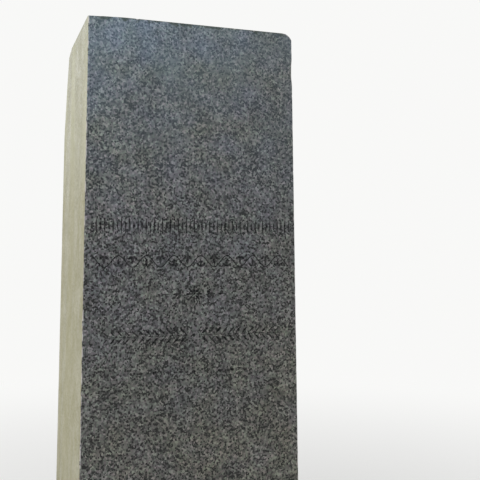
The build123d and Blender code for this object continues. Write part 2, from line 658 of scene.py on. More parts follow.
@dataclass(frozen=True)
class MortarFinish:
    """Old lime and sand mortar, stained by the rain."""

    lime: Colour = tone(150, 145, 132)
    sand_dark: Colour = tone(104, 97, 84)
    sand_light: Colour = tone(186, 180, 164)
    sand_size: float = 1.6 * MM
    stain: Colour = tone(78, 76, 66)
    stain_size: float = 60 * MM
    stain_share: Span = (0.1, 0.75)
    roughness: Span = (0.85, 0.97)
    relief_size: float = 2 * MM
    relief_depth: float = 0.5 * MM

    def material(self) -> Material:
        """Makes the material.

        Returns:
            The finished material.
        """
        shader = ShaderTree("lime_mortar")
        grain, _, _ = shader.crystals(shader.place, self.sand_size)
        stops = ((0.0, self.sand_dark), (0.3, self.lime), (0.8, self.lime), (1.0, self.sand_light))
        damp = shader.patches(shader.place, self.stain_size, 4.0, 0.6)
        stained = shader.eased(damp, 0.4, 0.75, *self.stain_share)
        relief = shader.patches(shader.place, self.relief_size, 4.0, 0.65)
        return shader.finished({
            "Base Color": shader.blend(stained, shader.ramp(grain, stops), self.stain),
            "Roughness": shader.eased(damp, *SPREAD, *self.roughness),
            "Normal": shader.bumped(relief, self.relief_depth),
        })


def linked(name: str, data: bpy.types.ID) -> Object:
    """Puts a mesh, a lamp or a camera into the scene, at the origin.

    Args:
        name: the object's name.
        data: what it holds.

    Returns:
        The object.
    """
    made = bpy.data.objects.new(name, data)
    bpy.context.scene.collection.objects.link(made)
    return made


def shaped(name: str, shape: bmesh.types.BMesh) -> Object:
    """Turns a worked shape into an object, and frees it.

    Args:
        name: the object's name.
        shape: the shape.

    Returns:
        The object.
    """
    mesh = bpy.data.meshes.new(name)
    shape.to_mesh(mesh)
    shape.free()
    return linked(name, mesh)


def settled(made: Object) -> Object:
    """Turns what an object's modifiers make into its own plain mesh.

    Args:
        made: the object, whose modifiers are removed.

    Returns:
        The same object.
    """
    mesh = bpy.data.meshes.new_from_object(made.evaluated_get(bpy.context.evaluated_depsgraph_get()))
    made.modifiers.clear()
    made.data = mesh
    return made


def cut(stone: Object, cutters: list[Object]) -> None:
    """Cuts solids out of a stone and removes them.

    Args:
        stone: the stone.
        cutters: the solids.
    """
    for cutter in cutters:
        modifier = stone.modifiers.new(cutter.name, "BOOLEAN")
        modifier.operation = "DIFFERENCE"
        modifier.solver = "MANIFOLD"
        modifier.material_mode = "TRANSFER"
        modifier.object = cutter
    settled(stone)
    for cutter in cutters:
        bpy.data.objects.remove(cutter)


def steps(start: float, end: float, spacing: float) -> list[float]:
    """Evenly spaced values from start up to but without end, about as far apart as the spacing."""
    count = max(1, round(abs(end - start) / spacing))
    return [start + (end - start) * k / count for k in range(count)]


def arrises(foot: list[Vector], top: list[Vector]) -> list[Arris]:
    """The upright and upper arrises of a square block.

    Args:
        foot: the lower end of each upright arris, in the order of the corners.
        top: the upper ends.

    Returns:
        Each arris by its two ends and its way out of the stone.
    """
    ways = [Vector((*corner.value, 0)) for corner in Corner]
    lines = []
    for i in range(4):
        j = (i + 1) % 4
        lines.append((foot[i], top[i], ways[i].normalized()))
        lines.append((top[i], top[j], (ways[i] + ways[j] + Vector((0, 0, 2))).normalized()))
    return lines


class ShapeTree(NodeTree):
    """A Geometry Nodes tree with named inputs."""

    def __init__(self, name: str, sizes: dict[str, float]) -> None:
        """Starts a tree that takes geometry and some sizes, and gives geometry.

        Args:
            name: the tree's name.
            sizes: the value of each named input, a whole number where it counts something.
        """
        super().__init__(bpy.data.node_groups.new(name, "GeometryNodeTree"))
        interface = self.tree.interface
        for way in ("INPUT", "OUTPUT"):
            interface.new_socket("Geometry", in_out=way, socket_type="NodeSocketGeometry")
        self.values = {}
        for size, value in sizes.items():
            kind = "NodeSocketInt" if isinstance(value, int) else "NodeSocketFloat"
            self.values[interface.new_socket(size, in_out="INPUT", socket_type=kind).identifier] = value
        given = list(self.add("NodeGroupInput").outputs)
        self.geometry = given[0]
        self.sizes = given[1:len(sizes) + 1]

    def attribute(self, name: str, kind: str = "FLOAT") -> Socket:
        """A value that the mesh holds for each of its points."""
        return self.add("GeometryNodeInputNamedAttribute", {"Name": name}, data_type=kind).outputs[0]

    def position(self) -> Socket:
        """Where each point is."""
        return self.add("GeometryNodeInputPosition").outputs[0]

    def joined(self, x: object = 0.0, y: object = 0.0, z: object = 0.0) -> Socket:
        """A vector of the given x, y and z."""
        return self.add("ShaderNodeCombineXYZ", {"X": x, "Y": y, "Z": z}).outputs[0]

    def random(self, low: object, high: object, seed: object) -> Socket:
        """A random number, or vector, for each point.

        Args:
            low: the lowest.
            high: the highest.
            seed: the seed.

        Returns:
            The result's socket.
        """
        kind, first = ("FLOAT_VECTOR", 0) if isinstance(low, tuple) else ("FLOAT", 2)
        given = {first: low, first + 1: high, "Seed": seed}
        return self.add("FunctionNodeRandomValue", given, data_type=kind).outputs[first // 2]

    def shifted(self, geometry: Socket, offset: Socket) -> Socket:
        """Geometry with its points moved."""
        return self.add("GeometryNodeSetPosition", {"Geometry": geometry, "Offset": offset}).outputs[0]

    def strewn(self, points: Socket, shape: Socket, turn: Socket, scale: Socket) -> Socket:
        """A shape on each point, turned and scaled."""
        given = {"Points": points, "Instance": shape, "Rotation": turn, "Scale": scale}
        return self.add("GeometryNodeInstanceOnPoints", given).outputs[0]

    def line(self, start: object, end: object, count: object) -> Socket:
        """A straight line of evenly spaced points."""
        line = self.add("GeometryNodeCurvePrimitiveLine", {"Start": start, "End": end}).outputs[0]
        return self.add("GeometryNodeResampleCurve", {"Curve": line, "Count": count}).outputs[0]

    def bar(self, path: Socket, half_width: object, swell: object = 1.0) -> Socket:
        """A four-sided bar along a path, which cuts a V where it is half sunk.

        Args:
            path: the path.
            half_width: half of the bar's width.
            swell: the share of the width at each point.

        Returns:
            The bar's mesh.
        """
        wedge = {"Resolution": 4, "Radius": half_width}
        profile = self.add("GeometryNodeCurvePrimitiveCircle", wedge, mode="RADIUS").outputs[0]
        given = {"Curve": path, "Profile Curve": profile, "Scale": swell, "Fill Caps": True}
        return self.add("GeometryNodeCurveToMesh", given).outputs[0]

    def applied(self, geometry: Socket, material: Material, made: Object) -> Object:
        """Realizes what the tree has placed, gives it a material, and keeps it as an object's plain mesh.

        Args:
            geometry: what the tree gives out.
            material: its material.
            made: the object that the tree runs on.

        Returns:
            The same object.
        """
        real = self.add("GeometryNodeRealizeInstances", {"Geometry": geometry}).outputs[0]
        given = {"Geometry": real, "Material": material}
        self.add("NodeGroupOutput", {0: self.add("GeometryNodeSetMaterial", given).outputs[0]})
        modifier = made.modifiers.new(self.tree.name, "NODES")
        modifier.node_group = self.tree
        for identifier, value in self.values.items():
            modifier[identifier] = value
        return settled(made)


@dataclass(frozen=True)
class ArrisChips:
    """Small flakes knocked off a stone's arrises, as solids to cut it with."""

    spacing: float = 18 * MM
    smallest: float = 1.6 * MM
    largest: float = 8 * MM
    bite: float = 0.30
    seed: int = 5

    def cutter(self, name: str, lines: list[Arris], material: Material) -> Object:
        """Makes the lumps along a stone's arrises.

        Args:
            name: the cutter's name.
            lines: the arrises.
            material: the finish of the broken stone.

        Returns:
            The cutter, one plain mesh.
        """
        mesh = bpy.data.meshes.new(name)
        ends = [end for line in lines for end in line[:2]]
        mesh.from_pydata(ends, [(2 * i, 2 * i + 1) for i in range(len(lines))], [])
        outs = [value for line in lines for value in (*line[2], *line[2])]
        mesh.attributes.new("outwards", "FLOAT_VECTOR", "POINT").data.foreach_set("vector", outs)

        shape = ShapeTree("arris_chips", vars(self))
        spacing, smallest, largest, bite, seed = shape.sizes
        curve = shape.add("GeometryNodeMeshToCurve", {"Mesh": shape.geometry}).outputs[0]
        spaced = {"Curve": curve, "Length": spacing}
        points = shape.add("GeometryNodeCurveToPoints", spaced, mode="LENGTH").outputs
        slide = shape.vector("SCALE", points["Tangent"], shape.times(shape.random(-0.5, 0.5, seed), spacing))
        rare = shape.maths("POWER", shape.random(0.0, 1.0, 91), 4.0)
        radius = shape.eased(rare, 0.0, 1.0, smallest, largest, kind="LINEAR")
        lift = shape.times(radius, shape.minus(1.0, bite))
        out = shape.vector("SCALE", shape.attribute("outwards", "FLOAT_VECTOR"), lift)
        placed = shape.shifted(points["Points"], shape.vector("ADD", slide, out))
        lump = shape.add("GeometryNodeMeshIcoSphere", {"Radius": 1.0, "Subdivisions": 2}).outputs["Mesh"]
        turn = shape.random((0, 0, 0), (6.28, 6.28, 6.28), seed)
        lumps = shape.strewn(placed, lump, turn, shape.vector("SCALE", (1.0, 1.0, 1.5), radius))
        return shape.applied(lumps, material, linked(name, mesh))


@dataclass(frozen=True)
class FaceRelief:
    """How far a stone's faces stand out, and the breaks of the hammer or the pitching tool in them."""

    proud: float
    relief: float
    margin_relief: float
    facet_size: float
    grain_size: float
    seed: float

    def apply(self, made: Object, material: Material) -> None:
        """Moves a block's faces out, and in again where the stone has broken away.

        Args:
            made: the block.
            material: the stone's finish.
        """
        shape = ShapeTree(f"{made.name}_faces", vars(self))
        proud, relief, margin_relief, facet_size, grain_size, seed = shape.sizes
        place = shape.vector("ADD", shape.position(), shape.joined(x=seed, y=seed, z=seed))
        scale = shape.maths("DIVIDE", 1.0, facet_size)
        warped = shape.warped(place, scale, facet_size, 2.0)
        cells = shape.cells(warped, scale).outputs
        arm = shape.vector("SUBTRACT", warped, cells["Position"])
        tilt = shape.vector("SUBTRACT", cells["Color"], MID_COLOUR)
        slope = shape.times(shape.vector("DOT_PRODUCT", arm, tilt), scale)
        facets = shape.maths("MULTIPLY_ADD", slope, 2.2, 0.5, clamp=True)
        swell = shape.noise(warped, scale, 1.0).outputs["Fac"]
        grain = shape.noise(place, shape.maths("DIVIDE", 1.0, grain_size), 5.0, 0.6).outputs["Fac"]
        mixed = shape.maths("MULTIPLY_ADD", swell, 0.22, shape.times(facets, 0.60))
        mixed = shape.maths("MULTIPLY_ADD", grain, 0.18, mixed)
        depth = shape.eased(mixed, 0.25, 0.75, 1.0, 0.0, kind="LINEAR")

        inside, worked = shape.attribute("field"), shape.attribute("relief")
        full = shape.times(shape.maths("POWER", inside, 0.7), proud)
        sunk = shape.times(shape.between(inside, margin_relief, relief), depth, worked)
        outwards = shape.attribute("outwards", "FLOAT_VECTOR")
        moved = shape.shifted(shape.geometry, shape.vector("SCALE", outwards, shape.minus(full, sunk)))
        hollow = {"Geometry": moved, "Name": "hollow", "Value": shape.times(depth, worked)}
        kept = shape.add("GeometryNodeStoreNamedAttribute", hollow, data_type="FLOAT", domain="POINT")
        smooth = shape.add("GeometryNodeSetShadeSmooth", {"Geometry": kept.outputs[0]}).outputs[0]
        shape.applied(smooth, material, made)


@dataclass
class Part:
    """A piece of the tombstone, which stands for one solid."""

    node: str
    name: str
    slot: str

    def __post_init__(self) -> None:
        """Reads the piece's size from its solid."""
        self.low, self.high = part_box(self.node)

    def dress(self, made: Object) -> None:
        """Gives the finished piece its place in the frame.

        Args:
            made: the piece.
        """
        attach(made, BODY)
        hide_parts(self.node)
        log.info("%s: %d faces, stands for %s", made.name, len(made.data.polygons), self.node)


@dataclass
class Fracture:
    """An uneven broken surface, and the solid outside it that is cut away."""

    middle: Vector
    out: Vector
    first: Vector
    reach: float
    curve_first: float
    curve_second: float
    rough: float
    grid: int = 40
    grain: float = 45.0

    def cutter(self, name: str, material: Material) -> Object:
        """Makes the solid that the break is cut with.

        Args:
            name: the cutter's name.
            material: the finish of the broken stone.

        Returns:
            The cutter.
        """
        second = self.out.cross(self.first).normalized()
        shape = bmesh.new()
        bmesh.ops.create_grid(shape, x_segments=self.grid, y_segments=self.grid, size=self.reach)
        for vert in shape.verts:
            u, v, _ = vert.co
            spot = self.middle + self.first * u + second * v
            rise = self.curve_first * u * u + self.curve_second * v * v
            grain = noise.fractal(spot * self.grain, 1.0, 2.0, 5) * self.rough
            vert.co = spot + self.out * (rise + grain)
        for face in shape.faces:
            face.smooth = True
        rim = bmesh.ops.extrude_edge_only(shape, edges=[edge for edge in shape.edges if edge.is_boundary])
        lifted = [item for item in rim["geom"] if isinstance(item, bmesh.types.BMVert)]
        bmesh.ops.translate(shape, verts=lifted, vec=self.out * 2 * self.reach)
        bmesh.ops.holes_fill(shape, edges=[edge for edge in shape.edges if edge.is_boundary])
        bmesh.ops.recalc_face_normals(shape, faces=shape.faces)
        made = shaped(name, shape)
        made.data.materials.append(material)
        return made


@dataclass(frozen=True)
class CornerBreak:
    """A top corner that has broken off, by how far it reaches along the three edges."""

    corner: Corner
    along: float
    inwards: float
    down: float
    dome: float
    rough: float

    def fracture(self, pillar: "Pillar") -> Fracture:
        """Finds the broken surface on the stone.

        Args:
            pillar: the stone that broke.

        Returns:
            The broken surface.
        """
        across, end = self.corner.value
        tip = pillar.arris_point(self.corner, 0.0)
        on_width = tip - Vector((across * self.along, 0, 0))
        on_depth = tip - Vector((0, end * self.inwards, 0))
        on_arris = pillar.arris_point(self.corner, self.down)
        middle = (on_width + on_depth + on_arris) / 3
        out = (on_depth - on_width).cross(on_arris - on_width).normalized()
        if out.dot(tip - middle) < 0:
            out.negate()
        reach = 1.5 * max((point - middle).length for point in (on_width, on_depth, on_arris))
        curve = -self.dome / (reach * reach)
        first = (on_depth - on_width).normalized()
        return Fracture(middle + out * self.dome * 0.25, out, first, reach, curve, curve, self.rough)


@dataclass(frozen=True)
class Spall:
    """A long shallow flake lost from an upright arris."""

    corner: Corner
    below_top: float
    length: float
    depth: float
    rough: float
    hollow: float = 2.0

    def fracture(self, pillar: "Pillar") -> Fracture:
        """Finds the broken surface on the stone.

        Args:
            pillar: the stone that broke.

        Returns:
            The broken surface.
        """
        out = Vector((*self.corner.value, 0)).normalized()
        middle = pillar.arris_point(self.corner, self.below_top) - out * self.depth
        half = self.length / 2
        curve = self.depth / (half * half)
        return Fracture(middle, out, Vector((0, 0, 1)), 1.3 * half, curve, self.hollow, self.rough)


@dataclass(frozen=True)
class Cut:
    """One chisel cut, by its point on the stone, its lean from upright and its scale."""

    stroke: Stroke
    x: float
    z: float
    lean: float = 0.0
    scale: float = 1.0

    def size(self) -> tuple[float, float, float]:
        """Its width and length, and twice its depth."""
        length, width, depth = self.stroke.value[:3]
        return width * self.scale * MM, length * self.scale * MM, 2 * depth * MM

    def middle(self) -> tuple[float, float]:
        """The place of its middle, which lies out from its point along its lean where it has a start.

        Returns:
            The place, across the stone and above the ground.
        """
        start = self.stroke.value[3:]
        out = start[0] * MM + self.size()[1] / 2 if start else 0.0
        return self.x - math.sin(self.lean) * out, self.z + math.cos(self.lean) * out


@dataclass(frozen=True)
class CarvedRows:
    """Five rows of shallow leaf ornament across the front."""

    half_width: float = 235 * MM
    reeds_z: float = 1.271
    reed_pitch: float = 9.4 * MM
    reed_bead_rise: float = 15.12 * MM
    vine_z: float = 1.190
    vine_wave: float = 64 * MM
    vine_swing: float = 13 * MM
    vine_half_width: float = 1.4 * MM
    rosette_z: float = 1.1145
    lobe_turn: float = 0.85
    sprig_x: float = 30 * MM
    tendril_x: float = 66 * MM
    laurel_z: float = 1.0195
    laurel_x: float = 16 * MM
    laurel_pitch: float = 16.5 * MM
    laurel_lean: float = 0.80
    laurel_shrink: float = 0.035
    stalk_shift: float = 4.5 * MM
    beads_z: float = 0.936
    bead_pitch: float = 15.5 * MM
    # The inside of the chisel cuts is coloured dark: partly dirt in the grooves, partly painted shade that
    # the narrow cuts hold
    finish: GraniteFinish = GraniteFinish(
        Dressing.CUT,
        minerals=((0.0, grey(0.026)), (1.0, grey(0.056))),
        roughness=(0.7, 0.9),
        gloss=0.15,
        relief_size=1.5 * MM,
        relief_depth=0.15 * MM,
        weathering=Weathering(film_with_painted_light=PILLAR_FILM_WITH_PAINTED_LIGHT),
    )

    def reeds(self) -> Iterable[Cut]:
        """The upright reeds of the first row, long and short by turns, the short ones between beads.

        Returns:
            The cuts.
        """
        count = round(self.half_width / self.reed_pitch)
        for index in range(-count, count + 1):
            x = index * self.reed_pitch
            if index % 2 == 0:
                yield Cut(Stroke.REED, x, self.reeds_z)
                continue
            yield Cut(Stroke.SHORT_REED, x, self.reeds_z)
            for side in (-1, 1):
                yield Cut(Stroke.REED_BEAD, x, self.reeds_z + side * self.reed_bead_rise)

    def leaf(self, x: float, z: float, lean: float, scale: float = 1.0) -> Iterable[Cut]:
        """A leaf of three lobes.

        Args:
            x: its stalk, across the stone.
            z: its stalk, above the ground.
            lean: the way that it grows, turned from upright.
            scale: its size.

        Returns:
            The cuts of its lobes.
        """
        yield Cut(Stroke.LOBE, x, z, lean, scale)
        for side in (1, -1):
            yield Cut(Stroke.SIDE_LOBE, x, z, lean + side * self.lobe_turn, scale)

    def vine_leaves(self) -> Iterable[Cut]:
        """A leaf in each bend of the running vine, and a berry on its other side.

        Returns:
            The cuts.
        """
        count = int(2 * self.half_width / (self.vine_wave / 2))
        for index in range(count):
            x = (index - (count - 1) / 2) * self.vine_wave / 2
            side = 1 if math.sin(FULL_TURN * x / self.vine_wave) > 0 else -1
            lean = 0.0 if side > 0 else math.pi
            yield from self.leaf(x, self.vine_z - side * self.vine_swing * 1.05, lean, 0.95)
            yield Cut(Stroke.BERRY, x, self.vine_z + side * (self.vine_swing + 6 * MM))

    def rosette(self) -> Iterable[Cut]:
        """A flower of eight petals between two sprigs.

        Returns:
            The cuts.
        """
        for index in range(8):
            way = index * FULL_TURN / 8
            yield Cut(Stroke.PETAL, 0.0, self.rosette_z, way)
            yield Cut(Stroke.SEPAL, 0.0, self.rosette_z, way + FULL_TURN / 16)
        yield Cut(Stroke.EYE, 0.0, self.rosette_z)
        for side in (-1, 1):
            yield from self.leaf(side * self.sprig_x, self.rosette_z, -side * math.pi / 2)
            yield Cut(Stroke.TENDRIL, side * self.tendril_x, self.rosette_z, math.pi / 2)

    def laurels(self) -> Iterable[Cut]:
        """Two laurel sprays that grow outwards from the middle.

        Returns:
            The cuts.
        """
        for side in (-1, 1):
            for index in range(12):
                x = side * (self.laurel_x + index * self.laurel_pitch)
                yield Cut(Stroke.STALK, x + side * self.stalk_shift, self.laurel_z, math.pi / 2)
                for above in (-1, 1):
                    lean = -side * (math.pi / 2 - above * self.laurel_lean)
                    yield Cut(Stroke.LAUREL, x, self.laurel_z, lean, 1.0 - self.laurel_shrink * index)
        yield Cut(Stroke.BUD, 0.0, self.laurel_z)

    def beads(self) -> Iterable[Cut]:
        """A last row of lozenges and beads, more worn than the rest.

        Returns:
            The cuts.
        """
        for index in range(-9, 10):
            stroke = Stroke.BEAD if index % 2 else Stroke.LOZENGE
            yield Cut(stroke, index * self.bead_pitch, self.beads_z, math.pi / 2)

    def chiselled(self, cuts: list[Cut], material: Material) -> Object:
        """Makes the pointed bars that the chisel cuts are cut with.

        Args:
            cuts: the cuts.
            material: the dark finish inside them, partly painted shade.

        Returns:
            The cutter, drawn in the XY plane round the rosette.
        """
        mesh = bpy.data.meshes.new("chisel_cuts")
        mesh.from_pydata([(x, z - self.rosette_z, 0.0) for x, z in (each.middle() for each in cuts)], [], [])
        leans = [each.lean for each in cuts]
        mesh.attributes.new("lean", "FLOAT", "POINT").data.foreach_set("value", leans)
        sizes = [value for each in cuts for value in each.size()]
        mesh.attributes.new("size", "FLOAT_VECTOR", "POINT").data.foreach_set("vector", sizes)

        shape = ShapeTree("chisel_cuts", {"steps": 9, "fullness": 0.8, "tip": 0.02})
        count, fullness, tip = shape.sizes
        along = shape.add("GeometryNodeSplineParameter").outputs["Factor"]
        swell = shape.maths("MAXIMUM", shape.maths("SINE", shape.times(along, math.pi)), tip)
        line = shape.line((0, -0.5, 0), (0, 0.5, 0), count)
        bar = shape.bar(line, 0.5, shape.maths("POWER", swell, fullness))
        points = shape.add("GeometryNodeMeshToPoints", {"Mesh": shape.geometry}).outputs[0]
        turn = shape.joined(z=shape.attribute("lean"))
        placed = shape.strewn(points, bar, turn, shape.attribute("size", "FLOAT_VECTOR"))
        return shape.applied(placed, material, linked("chisel_cuts", mesh))

    def vine(self, material: Material) -> Object:
        """Makes the waving bar that the vine's stem is cut with.

        Args:
            material: the dark finish inside the cut, partly painted shade.

        Returns:
            The cutter, drawn in the XY plane.
        """
        sizes = {"half_length": self.half_width, "wave": self.vine_wave, "swing": self.vine_swing}
        shape = ShapeTree("vine_line", {**sizes, "half_width": self.vine_half_width, "steps": 180})
        half_length, wave, swing, half_width, count = shape.sizes
        end = shape.joined(x=half_length)
        line = shape.line(shape.vector("MULTIPLY", end, (-1, 1, 1)), end, count)
        turns = shape.maths("DIVIDE", shape.parts(shape.position())[0], wave)
        lift = shape.times(shape.maths("SINE", shape.times(turns, FULL_TURN)), swing)
        bar = shape.bar(shape.shifted(line, shape.joined(y=lift)), half_width)
        return shape.applied(bar, material, linked("vine_line", bpy.data.meshes.new("vine_line")))

    def cutters(self, pillar: "Pillar") -> list[Object]:
        """Makes everything that is cut into the front.

        Args:
            pillar: the stone.

        Returns:
            The cutters.
        """
        material = self.finish.material()
        cuts = [*self.reeds(), *self.vine_leaves(), *self.rosette(), *self.laurels(), *self.beads()]
        made = [self.chiselled(cuts, material), self.vine(material)]
        for cutter, z in zip(made, (self.rosette_z, self.vine_z)):
            cutter.data.transform(pillar.front_at(z))
        log.info("ornament: %d cuts", len(cuts))
        return made


@dataclass
class Pillar(Part):
    """The tall polished stone, drawn in on all four sides, with its breaks and chips."""

    node: str = "pillar"
    name: str = "pillar_stone"
    slot: str = "polished_granite"
    batter: float = math.radians(0.9)
    arris: float = 2 * MM
    patch: float = 26 * MM
    polish: GraniteFinish = GraniteFinish(
        Dressing.POLISHED,
        dust=0.48,
        top_wear=0.4,
        weathering=Weathering(
            # grime with painted sky reflection, lighter and bluer higher up
            film_with_painted_light=PILLAR_FILM_WITH_PAINTED_LIGHT,
            # a painted pale bluish sky reflection on the upper front
            painted_sky_reflection_share=0.39,
            # algae on the left side, partly painted reflection lightening it
            algae_and_painted_reflection_share=0.31,
            # pale arrises, partly wear and partly a painted highlight
            arris_wear_and_painted_highlight=0.70,
            crown=cad_high[2],
        ),
    )
    breaks: tuple[CornerBreak | Spall, ...] = (
        CornerBreak(Corner.FRONT_RIGHT, 24 * MM, 20 * MM, 18 * MM, 7 * MM, 0.8 * MM),
        CornerBreak(Corner.FRONT_LEFT, 90 * MM, 26 * MM, 4.5 * MM, 2 * MM, 0.5 * MM),
        CornerBreak(Corner.BACK_LEFT, 70 * MM, 122 * MM, 50 * MM, 12 * MM, 2.6 * MM),
        CornerBreak(Corner.BACK_LEFT, 45 * MM, 85 * MM, 212 * MM, 8 * MM, 2 * MM),
        Spall(Corner.FRONT_RIGHT, 90 * MM, 72 * MM, 4.5 * MM, 0.7 * MM),
    )
    chips: ArrisChips = ArrisChips()
    ornament: CarvedRows = CarvedRows()

    def arris_point(self, corner: Corner, below_top: float) -> Vector:
        """A point on one of the upright arrises, before any break.

        Args:
            corner: the arris's corner.
            below_top: how far below the stone's top the point lies.

        Returns:
            The point.
        """
        across, end = corner.value
        draw_in = (self.high.z - self.low.z - below_top) * math.tan(self.batter)
        half_x, half_y = self.high.x - draw_in, self.high.y - draw_in
        return Vector((across * half_x, end * half_y, self.high.z - below_top))

    def corners(self, below_top: float) -> list[Vector]:
        """The four corners at a depth below the top."""
        return [self.arris_point(corner, below_top) for corner in Corner]

    def front_at(self, z: float) -> Matrix:
        """The place that flat work takes on the leaning front.

        Args:
            z: the height on the stone that the work's origin goes to.

        Returns:
            What turns and moves work that is drawn in the XY plane.
        """
        across = Vector((1, 0, 0))
        up = Vector((0, math.sin(self.batter), math.cos(self.batter)))
        turn = Matrix((across, up, across.cross(up))).transposed().to_4x4()
        front = self.arris_point(Corner.FRONT_RIGHT, self.high.z - z).y
        return Matrix.Translation((0, front, z)) @ turn

    def block(self) -> Object:
        """Makes the whole stone with eased arrises, its faces divided into small squares.

        Returns:
            The stone.
        """
        height = self.high.z - self.low.z
        shape = bmesh.new()
        foot, top = ([shape.verts.new(place) for place in self.corners(z)] for z in (height, 0.0))
        shape.faces.new(foot[::-1])
        shape.faces.new(top)
        for i in range(4):
            j = (i + 1) % 4
            shape.faces.new((foot[i], foot[j], top[j], top[i]))
        above_foot = self.low.z + self.arris
        sharp = [edge for edge in shape.edges if max(vert.co.z for vert in edge.verts) > above_foot]
        bmesh.ops.bevel(shape, geom=sharp, offset=self.arris, segments=2, profile=0.5, affect="EDGES")
        middle = Vector((0, 0, self.low.z))
        spans = ((-self.high.x, self.high.x), (-self.high.y, self.high.y), (0, height))
        for way, span in zip(Matrix.Identity(3), spans):
            for place in steps(*span, self.patch)[1:]:
                everything = [*shape.verts, *shape.edges, *shape.faces]
                spot = middle + way * place
                bmesh.ops.bisect_plane(shape, geom=everything, dist=1e-6, plane_co=spot, plane_no=way)
        return shaped(self.name, shape)

    def build(self) -> None:
        """Makes, cuts and dresses the stone."""
        stone = self.block()
        broken = BROKEN.material()
        stone.data.materials.append(self.polish.material())
        losses = [loss.fracture(self).cutter(f"loss_{i}", broken) for i, loss in enumerate(self.breaks)]
        lines = arrises(self.corners(self.high.z - self.low.z), self.corners(0.0))
        chips = self.chips.cutter("pillar_chips", lines, broken)
        cut(stone, [*losses, chips, *self.ornament.cutters(self)])
        self.dress(stone)


@dataclass(frozen=True)
class Ring:
    """One line of points round a block: how far in from its sides, how high, and how it is worked."""

    inset: float
    z: float
    relief: float = 0.0
    field: float = 0.0
    lift: float = 0.0


@dataclass
class RingedPart(Part):
    """A square piece made of closely set rings of points, so that its faces can be given a relief."""

    margin: float
    slope: float
    spacing: float
    faces: FaceRelief
    finish: GraniteFinish | MortarFinish

    def __post_init__(self) -> None:
        """Reads the piece's size from its solid, less what its faces stand out."""
        super().__post_init__()
        self.half_x, self.half_y = self.high.x - self.faces.proud, self.high.y - self.faces.proud

    def rings(self) -> list[Ring]:
        """The piece's rings, from its foot up."""
        raise NotImplementedError

    def side_rings(self, top: float, first: float, last: float) -> list[Ring]:
        """The rings of a side: its margins, and between them its worked field, with a slope up to it.

        Args:
            top: the height of the upper margin's edge.
            first: the height of the first ring.
            last: the height that the rings stop short of.

        Returns:
            The rings.
        """
        slope, low, high = self.slope, self.low.z + self.margin, top - self.margin
        rings = [Ring(0, z, 1) for z in steps(first, low, self.spacing)]
        rings += [Ring(0, z, 1, (z - low) / slope) for z in steps(low, low + slope, slope / 4)]
        rings += [Ring(0, z, 1, 1) for z in steps(low + slope, high - slope, self.spacing)]
        rings += [Ring(0, z, 1, (high - z) / slope) for z in steps(high - slope, high, slope / 4)]
        return rings + [Ring(0, z, 1) for z in steps(high, last, self.spacing)]

    def stations(self, half: float) -> list[float]:
        """The places of the points along one side, closer at the margins.

        Args:
            half: half of the side's length.

        Returns:
            The places, from one corner up to but without the next.
        """
        edge, inner = half - self.margin, half - self.margin - self.slope
        ends = steps(half, edge, self.margin / 4) + steps(edge, inner, self.slope / 4)
        return [-place for place in ends] + steps(-inner, inner, self.spacing) + [inner] + ends[:0:-1]

    def points(self) -> list[tuple[float, float, Vector, float]]:
        """The points of the widest ring.

        Returns:
            Each point's x and y, its way out, and how far it lies up the field's slope, from 0 to 1.
        """
        result = []
        for out_x, out_y in ((0, -1), (1, 0), (0, 1), (-1, 0)):
            half, depth = (self.half_x, self.half_y) if out_y else (self.half_y, self.half_x)
            for place in self.stations(half):
                share = min(1.0, max(0.0, (half - abs(place) - self.margin) / self.slope))
                x, y = out_x * depth - out_y * place, out_y * depth + out_x * place
                result.append((x, y, Vector((out_x, out_y, 0)), share))
        return result

    def mesh(self) -> bpy.types.Mesh:
        """Makes the block from the foot's first ring to the top's last.

        Returns:
            The closed mesh, with its ways out and its field and relief shares as attributes.
        """
        points, rings = self.points(), self.rings()
        count = len(points)
        places, outs, shares = [], [], {"field": [], "relief": []}
        for ring in rings:
            scale_x = (self.half_x - ring.inset) / self.half_x
            scale_y = (self.half_y - ring.inset) / self.half_y
            for x, y, out, share in points:
                places.append((x * scale_x, y * scale_y, ring.z))
                outs.extend((out * (1 - ring.lift) + Vector((0, 0, ring.lift))).normalized())
                shares["field"].append(ring.field * share)
                shares["relief"].append(ring.relief)
        last = (len(rings) - 1) * count
        faces = []
        for low in range(0, last, count):
            for k in range(count):
                following = (k + 1) % count
                faces.append((low + k, low + following, low + count + following, low + count + k))
        faces += [range(count)[::-1], range(last, last + count)]
        mesh = bpy.data.meshes.new(self.name)
        mesh.from_pydata(places, [], faces)
        mesh.attributes.new("outwards", "FLOAT_VECTOR", "POINT").data.foreach_set("vector", outs)
        for label, values in shares.items():
            mesh.attributes.new(label, "FLOAT", "POINT").data.foreach_set("value", values)
        return mesh

    def worked(self) -> Object:
        """Makes the block and gives its faces their relief.

        Returns:
            The piece.
        """
        made = linked(self.name, self.mesh())
        self.faces.apply(made, self.finish.material())
        return made


@dataclass
class HewnStone(RingedPart):
    """A stone with a worked field on each side, and chips off its arrises."""

    arris: float
    shoulder: float
    ledge: float
    chips: ArrisChips
    core: float = 20 * MM
    broken: GraniteFinish = replace(BROKEN, brightness=2.0, relief_size=2 * MM, relief_depth=0.5 * MM)

    def build(self) -> None:
        """Makes, chips and dresses the stone."""
        stone = self.worked()
        ways = [corner.value for corner in Corner]
        levels = (self.low.z, self.high.z - self.shoulder)
        foot, top = ([Vector((x * self.half_x, y * self.half_y, z)) for x, y in ways] for z in levels)
        cut(stone, [self.chips.cutter(f"{self.node}_chips", arrises(foot, top), self.broken.material())])
        self.dress(stone)


